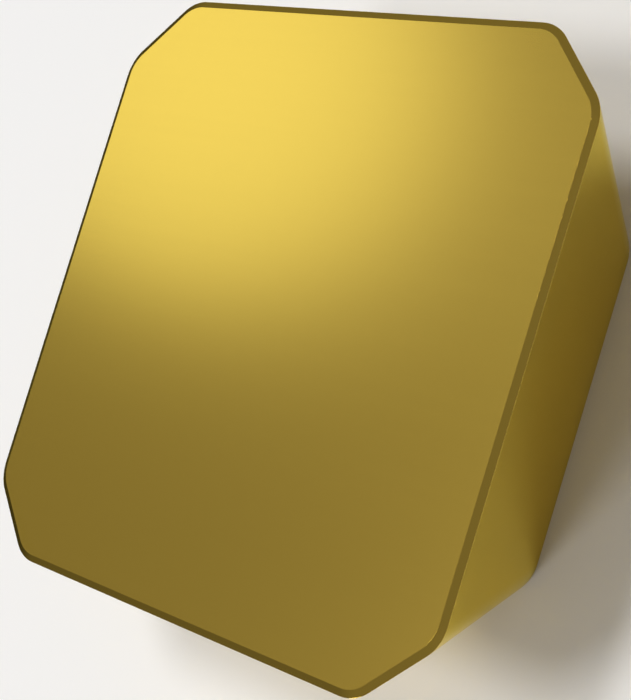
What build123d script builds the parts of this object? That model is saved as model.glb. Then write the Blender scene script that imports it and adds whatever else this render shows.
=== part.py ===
from build123d import *
import math
import os

# Square carbide milling insert with ground corner facets, one solid piece.
# It lies on its small seat face, rake face up. +Z is up, and the origin is the
# centre of the seat face. X and Y are square to the main flanks. Millimetres and degrees.

# The square
INSCRIBED_CIRCLE = 12.7  # across opposite main cutting edges
THICKNESS = 4.76  # from the seat face to the rake face
FLANK_CLEARANCE_ANGLE = 20.0  # how far the flank under each main cutting edge leans in, towards the seat

# Corner facets, ground at 45 degrees across the corners: their edges wipe the milled surface flat
FACET_LENGTH = 2.08  # a facet's cutting edge, measured between the corners before they are blended
FACET_CLEARANCE_ANGLE = 25.0  # the facets lean in more than the flanks do
BLEND_RADIUS = 0.93  # of the upright edges between a facet and the flanks beside it

# T-land: the narrow chamfer all round the rake face that strengthens the cutting edge
LAND_WIDTH = 0.15  # seen from above
LAND_ANGLE = 20.0  # its fall from the rake face to the cutting edge

# Worked out from the sizes above
LAND_DROP = LAND_WIDTH * math.tan(math.radians(LAND_ANGLE))  # cutting edge below the rake face
ACROSS_FACETS = INSCRIBED_CIRCLE * math.sqrt(2) - FACET_LENGTH  # opposite facets' cutting edges


def tapered_square(across, clearance):
    """Square frustum on the seat plane, as wide as across at the cutting edge's height.

    It is drawn from its wide rake face, narrowing as it goes, and then turned over.
    """
    rake_side = across + 2 * LAND_DROP * math.tan(math.radians(clearance))
    from_rake_face = extrude(Rectangle(rake_side, rake_side), amount=THICKNESS, taper=clearance)
    return Pos(Z=THICKNESS) * Rot(X=180) * from_rake_face


def blended_blank():
    """What the flanks' frustum and the facets' frustum share, with its eight upright edges rounded."""
    flanks = tapered_square(INSCRIBED_CIRCLE, FLANK_CLEARANCE_ANGLE)
    facets = Rot(Z=45) * tapered_square(ACROSS_FACETS, FACET_CLEARANCE_ANGLE)
    blank = flanks & facets
    upright_edges = blank.edges().filter_by(Plane.XY, reverse=True)
    return fillet(upright_edges, radius=BLEND_RADIUS)


def with_t_land(blank):
    """Chamfers the whole rim of the rake face, blends included."""
    rake_face = blank.faces().sort_by(Axis.Z)[-1]
    on_rake_face = LAND_WIDTH + LAND_DROP * math.tan(math.radians(FLANK_CLEARANCE_ANGLE))
    down_flank = LAND_DROP / math.cos(math.radians(FLANK_CLEARANCE_ANGLE))
    return chamfer(rake_face.edges(), length=on_rake_face, length2=down_flank, reference=rake_face)


insert = with_t_land(blended_blank())

os.makedirs("parts", exist_ok=True)
export_step(insert, "parts/insert.step")
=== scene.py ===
"""A square carbide milling insert with a gold coating, lying on a pale studio floor."""

import math

import bpy
import numpy as np
from mathutils import Matrix, Vector


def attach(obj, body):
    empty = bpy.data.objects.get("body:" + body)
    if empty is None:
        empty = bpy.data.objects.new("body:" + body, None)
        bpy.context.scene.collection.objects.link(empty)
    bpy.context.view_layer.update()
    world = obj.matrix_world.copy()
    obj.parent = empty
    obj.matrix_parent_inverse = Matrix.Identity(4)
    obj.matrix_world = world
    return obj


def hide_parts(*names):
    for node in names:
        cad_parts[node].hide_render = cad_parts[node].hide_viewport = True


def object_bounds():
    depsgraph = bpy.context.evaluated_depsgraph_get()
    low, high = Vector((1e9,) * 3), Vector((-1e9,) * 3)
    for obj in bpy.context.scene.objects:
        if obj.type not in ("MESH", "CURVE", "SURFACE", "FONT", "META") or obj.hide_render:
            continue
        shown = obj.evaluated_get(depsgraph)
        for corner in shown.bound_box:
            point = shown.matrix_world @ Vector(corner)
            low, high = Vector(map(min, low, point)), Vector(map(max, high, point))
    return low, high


bl_info = {
    "name": "Carbide Milling Insert",
    "version": (1, 0, 0),
    "blender": (4, 5, 0),
    "location": "3D View > Sidebar > Insert",
    "description": "Builds a coated square milling insert and a plain studio round it",
    "category": "Add Mesh",
}

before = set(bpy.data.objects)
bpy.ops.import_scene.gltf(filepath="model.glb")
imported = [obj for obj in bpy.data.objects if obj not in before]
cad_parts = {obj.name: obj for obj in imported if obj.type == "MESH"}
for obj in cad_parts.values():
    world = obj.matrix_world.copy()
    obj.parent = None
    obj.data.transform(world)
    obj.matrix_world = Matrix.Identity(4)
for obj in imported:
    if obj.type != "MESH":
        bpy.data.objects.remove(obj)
CAD_LOW, CAD_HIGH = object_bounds()

MM = 0.001
UP = np.array([0.0, 0.0, 1.0])
WHITE = "FFFFFF"

# How finely curves are divided, and the section's first row on the hone of the cutting edge
BLEND_STEPS = 24
HONE_STEPS = 4
EDGE_ROW = HONE_STEPS + 1

# Grinding marks, on a map in millimetres. Real ones are about 0.015 mm apart, which is too fine to
# show, so they are drawn four times as wide. Their depth is in metres, and their gloss is how far
# they take the roughness to either side.
GRINDING_MARK_WIDTH = 0.06
GRINDING_MARK_LENGTH = 9.0
GRINDING_MARK_DEPTH = 0.1e-6
GRINDING_MARK_GLOSS = 0.01

# Where the camera stands, where it looks and which way up it is held, in the insert's own frame,
# then its lens in millimetres, its shift, and the nearest and furthest that it sees in metres
CAMERA_PLACE = Vector((-2.3633, -23.6676, 29.0568)) * MM
CAMERA_AIM = Vector((0.05040, 0.68705, -0.72486))
CAMERA_UP = Vector((0.95451, 0.18044, 0.23740))
CAMERA_LENS = 88.443
CAMERA_SHIFT = (0.0549, 0.0025)
CAMERA_CLIP = (0.001, 10.0)

# Where the softboxes stand as the insert sees them: azimuth (0 is +Y and 90 is +X), elevation, and
# spread from middle to rim, in degrees, and distance in metres
FRONT_SOFTBOX = (16, 40.7, 8.6, 0.35)
UPPER_LEFT_SOFTBOX = (-50, 73, 8, 0.20)
UPPER_RIGHT_SOFTBOX = (60, 73, 8, 0.20)
LOWER_LEFT_SOFTBOX = (-75, 22, 10, 0.35)

# The room brightens with height up to the top of its skirting, and sooner towards +X
SKIRTING_TOP = 0.6
SKIRTING_LEAN = 0.25


# ---------------------------------------------------------------- sizes and colours a user would change


class InsertSizes(bpy.types.PropertyGroup):
    """Sizes of the insert, as its maker would state them."""

    inscribed_circle: bpy.props.FloatProperty(
        name="Inscribed circle",
        description="Distance across opposite main cutting edges",
        default=CAD_HIGH.x - CAD_LOW.x,
        unit="LENGTH",
        precision=5,
    )
    thickness: bpy.props.FloatProperty(
        name="Thickness",
        description="From the seat face to the rake face",
        default=CAD_HIGH.z - CAD_LOW.z,
        unit="LENGTH",
        precision=5,
    )
    flank_clearance: bpy.props.FloatProperty(
        name="Flank clearance",
        description="How far a main flank leans in towards the seat",
        default=math.radians(20.0),
        subtype="ANGLE",
    )
    facet_length: bpy.props.FloatProperty(
        name="Facet length",
        description="Cutting edge of a corner facet, between the corners before they are blended",
        default=2.08 * MM,
        unit="LENGTH",
        precision=5,
    )
    facet_clearance: bpy.props.FloatProperty(
        name="Facet clearance",
        description="How far a corner facet leans in towards the seat",
        default=math.radians(25.0),
        subtype="ANGLE",
    )
    blend_radius: bpy.props.FloatProperty(
        name="Blend radius",
        description="Radius of the upright edges between a facet and its flanks",
        default=0.93 * MM,
        unit="LENGTH",
        precision=5,
    )
    land_width: bpy.props.FloatProperty(
        name="Land width",
        description="Width of the chamfer round the rake face, seen from above",
        default=0.15 * MM,
        unit="LENGTH",
        precision=5,
    )
    land_angle: bpy.props.FloatProperty(
        name="Land angle",
        description="Fall of that chamfer from the rake face to the cutting edge",
        default=math.radians(20.0),
        subtype="ANGLE",
    )
    edge_hone: bpy.props.FloatProperty(
        name="Edge hone",
        description="Tiny radius that brushing leaves on every ground edge before coating",
        default=0.010 * MM,
        unit="LENGTH",
        precision=6,
    )
    rim_hone: bpy.props.FloatProperty(
        name="Rim hone",
        description="Radius where the land meets the rake face, which grinding leaves crisp",
        default=0.001 * MM,
        unit="LENGTH",
        precision=6,
    )


class InsertFinish(bpy.types.PropertyGroup):
    """Colour and gloss of the coating."""

    coating: bpy.props.StringProperty(
        name="Coating",
        description="Gold of the titanium nitride coating, as an sRGB hex value",
        default="E6C556",
    )
    grazing_tint: bpy.props.StringProperty(
        name="Grazing tint",
        description="Keeps the gold warm where it is seen at a shallow angle, as an sRGB hex value",
        default="FFFFC4",
    )
    roughness: bpy.props.FloatProperty(
        name="Roughness",
        description="Roughness of the coated faces, 0 for a mirror",
        default=0.212,
        min=0.0,
        max=1.0,
        subtype="FACTOR",
    )
    # Painted shade: the land has the same titanium nitride coating as the rake face, but it is drawn in
    # a darker gold so that the narrow chamfer looks shaded
    land_gold_with_painted_shade: bpy.props.StringProperty(
        name="Land coating",
        description="Gold of the coating on the chamfered land, as an sRGB hex value",
        default="D6B750",
    )
    land_roughness: bpy.props.FloatProperty(
        name="Land roughness",
        description="Roughness of the land, which is brushed finer than the faces",
        default=0.08,
        min=0.0,
        max=1.0,
        subtype="FACTOR",
    )


class StudioLight(bpy.types.PropertyGroup):
    """Floor, softboxes and surroundings of a plain studio."""

    floor: bpy.props.StringProperty(
        name="Floor",
        description="Colour of the floor, as an sRGB hex value",
        default="F9F9F9",
    )
    floor_size: bpy.props.FloatProperty(
        name="Floor size",
        description="Length of a side of the floor board",
        default=0.5,
        unit="LENGTH",
    )
    floor_ahead: bpy.props.FloatProperty(
        name="Floor ahead",
        description="How far the floor board reaches past the insert on the +Y side",
        default=0.1,
        unit="LENGTH",
    )
    front_level: bpy.props.FloatProperty(
        name="Front softbox",
        description="Brightness of the small softbox that the rake face mirrors, where 1 is white",
        default=1.21,
        min=0.0,
    )
    front_colour: bpy.props.StringProperty(
        name="Front softbox colour",
        description="Colour of its light, as an sRGB hex value",
        default="F4F9FC",
    )
    upper_left: bpy.props.FloatProperty(
        name="Upper left softbox",
        description="Share of a white floor's light that comes from high on the -X side",
        default=0.29,
        min=0.0,
    )
    upper_right: bpy.props.FloatProperty(
        name="Upper right softbox",
        description="Share of a white floor's light that comes from high on the +X side",
        default=0.29,
        min=0.0,
    )
    lower_left: bpy.props.FloatProperty(
        name="Lower left softbox",
        description="Share of a white floor's light that comes from low on the -X side",
        default=0.10,
        min=0.0,
    )
    walls: bpy.props.FloatProperty(
        name="Walls and ceiling",
        description="Brightness of the room above eye level, where 1 is white",
        default=0.248,
        min=0.0,
    )
    skirting: bpy.props.FloatProperty(
        name="Foot of the walls",
        description="Brightness of the room at the floor's level, where 1 is white",
        default=0.06,
        min=0.0,
    )
    room_colour: bpy.props.StringProperty(
        name="Room colour",
        description="Colour of the room all round, as an sRGB hex value",
        default="FFF9F3",
    )


# ---------------------------------------------------------------- shared helpers


def linear(hex_colour):
    """An sRGB hex colour as a linear one with alpha."""
    srgb = [int(hex_colour[i : i + 2], 16) / 255 for i in (0, 2, 4)]
    return tuple(c / 12.92 if c <= 0.04045 else ((c + 0.055) / 1.055) ** 2.4 for c in srgb) + (1.0,)


def add_node(tree, kind, settings=None, links=None):
    """Adds a node, sets its sockets by name or number and its properties, and links other sockets."""
    node = tree.nodes.new(kind)
    for name, value in (settings or {}).items():
        if isinstance(name, int) or name in node.inputs:
            node.inputs[name].default_value = value
        else:
            setattr(node, name, value)
    for name, source in (links or {}).items():
        tree.links.new(source, node.inputs[name])
    return node


def new_material(name):
    """An empty node material."""
    material = bpy.data.materials.new(name)
    material.use_nodes = True
    material.node_tree.nodes.clear()
    return material


# ---------------------------------------------------------------- the insert's skin


def swing(start, end, steps):
    """Unit normals that turn evenly from start to end, in the plane of the two.

    Each is (sin((1 - t) angle) start + sin(t angle) end) / sin(angle), for t from 0 to 1.
    """
    angle = np.arccos(np.sum(start * end, axis=-1))[..., None, None]
    t = np.linspace(0, 1, steps + 1)[:, None]
    start, end = start[..., None, :], end[..., None, :]
    return (np.sin((1 - t) * angle) * start + np.sin(t * angle) * end) / np.sin(angle)


def land_fall(sizes):
    """How far the land falls from the rake face to the cutting edge: width times tan(angle)."""
    return sizes.land_width * math.tan(sizes.land_angle)


def upright_planes(sizes):
    """Normals and distances of the eight upright faces, anticlockwise from the +X flank.

    A face is the plane normal . point = distance. Its normal dips by the face's clearance, and the
    plane passes through its cutting edge, which lies below the rake face by the land's fall.
    """
    half_flank = sizes.inscribed_circle / 2
    half_facet = (sizes.inscribed_circle * math.sqrt(2) - sizes.facet_length) / 2
    edge_height = sizes.thickness - land_fall(sizes)
    heading = np.arange(8) * math.pi / 4
    clearance = np.tile([sizes.flank_clearance, sizes.facet_clearance], 4)
    reach = np.tile([half_flank, half_facet], 4)
    level = np.cos(clearance)
    normals = np.stack([np.cos(heading) * level, np.sin(heading) * level, -np.sin(clearance)], axis=1)
    return normals, reach * level - edge_height * np.sin(clearance)


def outline(sizes, height):
    """Points and normals where the upright faces and their blends cut a level, anticlockwise.

    A blend is a cylinder of the blend radius that touches two neighbouring planes. Its axis lies
    one radius inside both, and a point on it is the axis plus one radius along the normal. The
    normal turns evenly from one plane's to the next, and the axis point is the one that puts the
    point at the height asked for.
    """
    planes, distances = upright_planes(sizes)
    next_planes, next_distances = np.roll(planes, -1, axis=0), np.roll(distances, -1)
    normals = swing(planes, next_planes, BLEND_STEPS)
    radius = sizes.blend_radius
    inside = np.stack([distances - radius, next_distances - radius], axis=1)[:, None, :]
    inside = np.broadcast_to(inside, normals.shape[:2] + (2,))
    axis_height = height - radius * normals[..., 2:]
    levels = np.concatenate([inside, axis_height], axis=2)
    crossing = np.stack([planes, next_planes, np.broadcast_to(UP, planes.shape)], axis=1)
    axis = np.linalg.solve(crossing[:, None], levels[..., None])[..., 0]
    return (axis + radius * normals).reshape(-1, 3), normals.reshape(-1, 3)


def honed(corner, below, above, hone):
    """Small arcs that round an edge between two faces with the normals below and above.

    The arc's centre lies one hone radius inside both faces, and a point is the centre plus that
    radius along a normal that turns evenly from one face's to the other's.
    """
    meeting = 1 + np.sum(below * above, axis=-1, keepdims=True)
    centre = corner - hone * (below + above) / meeting
    normals = swing(below, above, HONE_STEPS)
    return centre[:, None] + hone * normals, normals


def insert_skin(sizes):
    """The insert's sides as a section carried once round the outline, and the section's normals.

    The section starts on the seat face, turns up the flank, goes over the cutting edge and up the
    land, and ends on the rake face. Its three corners are honed. The land runs inwards from the
    cutting edge by its width and rises by its fall.
    """
    fall = land_fall(sizes)
    edge, upright = outline(sizes, sizes.thickness - fall)
    seat, _ = outline(sizes, 0.0)
    outward = upright * [1, 1, 0]
    outward /= np.linalg.norm(outward, axis=1, keepdims=True)
    rim = edge - sizes.land_width * outward + fall * UP
    land = outward * math.sin(sizes.land_angle) + UP * math.cos(sizes.land_angle)
    top = np.broadcast_to(UP, land.shape)
    arcs = [
        honed(seat, -top, upright, sizes.edge_hone),
        honed(edge, upright, land, sizes.edge_hone),
        honed(rim, land, top, sizes.rim_hone),
    ]
    return (np.concatenate(grids, axis=1) for grids in zip(*arcs))


def ring_faces(stations, rows):
    """Quads of a closed ring of stations, row by row, faces outwards, and the two caps."""
    here = np.arange(stations)[:, None] * rows + np.arange(rows - 1)
    there = np.roll(here, -1, axis=0)
    quads = np.stack([here, there, there + 1, here + 1], axis=-1).reshape(-1, 4)
    seat_cap = np.arange(stations)[::-1] * rows
    rake_cap = np.arange(stations) * rows + rows - 1
    return quads.tolist() + [seat_cap.tolist(), rake_cap.tolist()]


def skin_map(points):
    """Map of the sides, quad by quad: lengths in millimetres along the edge and up the section.

    The first is the sum of the steps along the cutting edge so far, and the second the sum of the
    steps along the section so far.
    """
    around = np.linalg.norm(np.roll(points, -1, axis=0) - points, axis=-1)[:, EDGE_ROW]
    along = np.concatenate([[0], np.cumsum(around)]) / MM
    steps = np.linalg.norm(np.diff(points, axis=1), axis=-1)
    up = np.concatenate([np.zeros((len(points), 1)), np.cumsum(steps, axis=1)], axis=1) / MM
    here = np.broadcast_to(along[:-1, None], up.shape)
    there = np.broadcast_to(along[1:, None], up.shape)
    ahead = np.roll(up, -1, axis=0)
    corners = [(here, up, 0), (there, ahead, 0), (there, ahead, 1), (here, up, 1)]
    rows = up.shape[1] - 1
    maps = [np.stack([u[:, k : k + rows], v[:, k : k + rows]], axis=-1) for u, v, k in corners]
    return np.stack(maps, axis=2).reshape(-1, 2)


def insert_mesh(sizes):
    """Mesh of the insert with exact normals, a map in millimetres and a mark on the land.

    The two flat faces are mapped by their own X and Y.
    """
    points, normals = insert_skin(sizes)
    stations, rows = points.shape[:2]
    mesh = bpy.data.meshes.new("coated_insert")
    mesh.from_pydata(points.reshape(-1, 3).tolist(), [], ring_faces(stations, rows))
    mesh.shade_smooth()
    mesh.normals_split_custom_set_from_vertices(normals.reshape(-1, 3).tolist())
    sides = skin_map(points)
    caps = np.concatenate([points[::-1, 0, :2], points[:, -1, :2]]) / MM
    layer = mesh.uv_layers.new(name="ground_faces")
    layer.uv.foreach_set("vector", np.concatenate([sides, caps]).astype(np.float32).ravel())
    on_land = np.zeros((stations, rows - 1), dtype=np.float32)
    on_land[:, EDGE_ROW:] = 1
    mark = mesh.attributes.new("land", "FLOAT", "FACE")
    mark.data.foreach_set("value", np.append(on_land.ravel(), [0, 0]).astype(np.float32))
    return mesh


# ---------------------------------------------------------------- materials


def titanium_nitride(finish):
    """Titanium nitride on ground cemented carbide.

    The coating is a few micrometres of warm gold with a metal's shine. The ground surface under it
    blurs what it mirrors and leaves faint straight marks. On the land the gold is drawn darker, as
    painted shade.
    """
    material = new_material("titanium_nitride_on_ground_carbide")
    tree = material.node_tree
    land = add_node(tree, "ShaderNodeAttribute", {"attribute_name": "land"})
    place = add_node(tree, "ShaderNodeUVMap", {"uv_map": "ground_faces"})
    stretched = add_node(
        tree,
        "ShaderNodeMapping",
        {"Scale": (1 / GRINDING_MARK_WIDTH, 1 / GRINDING_MARK_LENGTH, 1.0)},
        {"Vector": place.outputs["UV"]},
    )
    marks = add_node(
        tree,
        "ShaderNodeTexNoise",
        {"Scale": 1.0, "Detail": 3.0, "Roughness": 0.6},
        {"Vector": stretched.outputs["Vector"]},
    )
    relief = add_node(
        tree,
        "ShaderNodeBump",
        {"Strength": 1.0, "Distance": GRINDING_MARK_DEPTH},
        {"Height": marks.outputs["Fac"]},
    )
    faces = add_node(
        tree,
        "ShaderNodeMapRange",
        {
            "To Min": finish.roughness - GRINDING_MARK_GLOSS,
            "To Max": finish.roughness + GRINDING_MARK_GLOSS,
        },
        {"Value": marks.outputs["Fac"]},
    )
    roughness = add_node(
        tree,
        "ShaderNodeMapRange",
        {"To Max": finish.land_roughness},
        {"Value": land.outputs["Fac"], "To Min": faces.outputs["Result"]},
    )
    # On the land the colour switches to the darker land gold, which is painted shade
    colour = add_node(
        tree,
        "ShaderNodeMixRGB",
        {"Color1": linear(finish.coating), "Color2": linear(finish.land_gold_with_painted_shade)},
        {"Fac": land.outputs["Fac"]},
    )
    gold = add_node(
        tree,
        "ShaderNodeBsdfPrincipled",
        {"Metallic": 1.0, "Specular Tint": linear(finish.grazing_tint)},
        {
            "Base Color": colour.outputs["Color"],
            "Roughness": roughness.outputs["Result"],
            "Normal": relief.outputs["Normal"],
        },
    )
    add_node(tree, "ShaderNodeOutputMaterial", links={"Surface": gold.outputs["BSDF"]})
    return material


def matt_board(light):
    """Matt studio board: plain, pale and without gloss."""
    material = new_material("matt_studio_board")
    tree = material.node_tree
    board = add_node(
        tree,
        "ShaderNodeBsdfPrincipled",
        {"Base Color": linear(light.floor), "Roughness": 1.0, "Specular IOR Level": 0.0},
    )
    add_node(tree, "ShaderNodeOutputMaterial", links={"Surface": board.outputs["BSDF"]})
    return material


def studio_room(light):
    """Room all round: ceiling and walls evenly bright, and darker towards the foot of the walls.

    The level goes by the height of the direction looked in, plus a share of its +X part, because the
    wall on that side is the brighter one.
    """
    world = bpy.data.worlds.new("studio_room")
    world.use_nodes = True
    tree = world.node_tree
    tree.nodes.clear()
    way = add_node(tree, "ShaderNodeTexCoord")
    height = add_node(
        tree,
        "ShaderNodeVectorMath",
        {"operation": "DOT_PRODUCT", 1: (SKIRTING_LEAN, 0.0, 1.0)},
        {"Vector": way.outputs["Generated"]},
    )
    level = add_node(
        tree,
        "ShaderNodeMapRange",
        {
            "interpolation_type": "SMOOTHSTEP",
            "From Max": SKIRTING_TOP,
            "To Min": light.skirting,
            "To Max": light.walls,
        },
        {"Value": height.outputs["Value"]},
    )
    room = add_node(
        tree,
        "ShaderNodeBackground",
        {"Color": linear(light.room_colour)},
        {"Strength": level.outputs["Result"]},
    )
    add_node(tree, "ShaderNodeOutputWorld", links={"Surface": room.outputs["Background"]})
    return world


# ---------------------------------------------------------------- floor, lamps and camera


def aimed(place, aim, up):
    """Matrix of a camera or lamp at a place, looking along aim with its top towards up."""
    back = -aim.normalized()
    right = up.cross(back).normalized()
    turn = Matrix((right, back.cross(right), back)).transposed().to_4x4()
    return Matrix.Translation(place) @ turn


def softbox(name, stand, level, colour):
    """A round softbox at its stand, facing the insert.

    Its size is twice the distance times the tangent of its spread. An area lamp's power is its
    brightness times pi times its area, so at level 1 it looks white.
    """
    azimuth, elevation, spread, distance = stand
    az, el = math.radians(azimuth), math.radians(elevation)
    size = 2 * distance * math.tan(math.radians(spread))
    lamp = bpy.data.lights.new(name, "AREA")
    lamp.shape = "DISK"
    lamp.size = size
    lamp.color = linear(colour)[:3]
    lamp.energy = level * math.pi * math.pi * size * size / 4
    box = bpy.data.objects.new(name, lamp)
    way = Vector((math.sin(az) * math.cos(el), math.cos(az) * math.cos(el), math.sin(el)))
    box.matrix_world = aimed(way * distance, -way, Vector((0, 0, 1)))
    bpy.context.scene.collection.objects.link(box)


def floor_softbox(name, stand, share):
    """A white softbox that gives the floor its share of the light that makes white look white.

    A round lamp lights the floor by its level times the sine of its spread squared times the sine
    of its elevation.
    """
    _, elevation, spread, _ = stand
    level = share / (math.sin(math.radians(spread)) ** 2 * math.sin(math.radians(elevation)))
    softbox(name, stand, level, WHITE)


def floor_board(light):
    """A flat square board under the insert, nearer to its +Y edge than to the others."""
    half = light.floor_size / 2
    back, ahead = light.floor_ahead - light.floor_size, light.floor_ahead
    corners = [(-half, back, 0), (half, back, 0), (half, ahead, 0), (-half, ahead, 0)]
    mesh = bpy.data.meshes.new("floor")
    mesh.from_pydata(corners, [], [(0, 1, 2, 3)])
    mesh.materials.append(matt_board(light))
    floor = bpy.data.objects.new("floor", mesh)
    bpy.context.scene.collection.objects.link(floor)


def stage_camera():
    """The camera, with a shift only as large as the framing needs and no depth of field."""
    lens = bpy.data.cameras.new("camera")
    lens.lens = CAMERA_LENS
    lens.shift_x, lens.shift_y = CAMERA_SHIFT
    lens.clip_start, lens.clip_end = CAMERA_CLIP
    camera = bpy.data.objects.new("camera", lens)
    camera.matrix_world = aimed(CAMERA_PLACE, CAMERA_AIM, CAMERA_UP)
    bpy.context.scene.collection.objects.link(camera)
    return camera


# ---------------------------------------------------------------- operators


class MakeInsert(bpy.types.Operator):
    """Builds the insert in place of its CAD solid"""

    bl_idname = "milling_insert.make_insert"
    bl_label = "Make the insert"

    def execute(self, context):
        scene = context.scene
        insert = bpy.data.objects.new("coated_insert", insert_mesh(scene.insert_sizes))
        scene.collection.objects.link(insert)
        insert.data.materials.append(titanium_nitride(scene.insert_finish))
        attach(insert, "root")
        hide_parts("insert")
        return {"FINISHED"}


class MakeStage(bpy.types.Operator):
    """Adds the floor, lamps, surroundings and camera"""

    bl_idname = "milling_insert.make_stage"
    bl_label = "Make the stage"

    def execute(self, context):
        scene = context.scene
        light = scene.studio_light
        floor_board(light)
        softbox("front_softbox", FRONT_SOFTBOX, light.front_level, light.front_colour)
        floor_softbox("upper_left_softbox", UPPER_LEFT_SOFTBOX, light.upper_left)
        floor_softbox("upper_right_softbox", UPPER_RIGHT_SOFTBOX, light.upper_right)
        floor_softbox("lower_left_softbox", LOWER_LEFT_SOFTBOX, light.lower_left)
        scene.world = studio_room(light)
        scene.camera = stage_camera()
        scene.view_settings.view_transform = "Standard"
        return {"FINISHED"}


class InsertPanel(bpy.types.Panel):
    """Lists the pieces in the 3D view's sidebar"""

    bl_idname = "VIEW3D_PT_milling_insert"
    bl_label = "Milling insert"
    bl_space_type = "VIEW_3D"
    bl_region_type = "UI"
    bl_category = "Insert"

    def draw(self, context):
        scene = context.scene
        for group in (scene.insert_sizes, scene.insert_finish, scene.studio_light):
            box = self.layout.box()
            for name in group.__annotations__:
                box.prop(group, name)
        self.layout.operator(MakeInsert.bl_idname)
        self.layout.operator(MakeStage.bl_idname)


CLASSES = (InsertSizes, InsertFinish, StudioLight, MakeInsert, MakeStage, InsertPanel)


def register():
    """Registers the classes and gives every scene the sizes, the finish and the light."""
    for cls in CLASSES:
        bpy.utils.register_class(cls)
    bpy.types.Scene.insert_sizes = bpy.props.PointerProperty(type=InsertSizes)
    bpy.types.Scene.insert_finish = bpy.props.PointerProperty(type=InsertFinish)
    bpy.types.Scene.studio_light = bpy.props.PointerProperty(type=StudioLight)


def unregister():
    """Takes back what register gives."""
    del bpy.types.Scene.insert_sizes
    del bpy.types.Scene.insert_finish
    del bpy.types.Scene.studio_light
    for cls in reversed(CLASSES):
        bpy.utils.unregister_class(cls)


def main():
    """Registers the add-on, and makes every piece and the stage."""
    register()
    bpy.ops.milling_insert.make_insert()
    bpy.ops.milling_insert.make_stage()


if __name__ == "__main__":
    main()
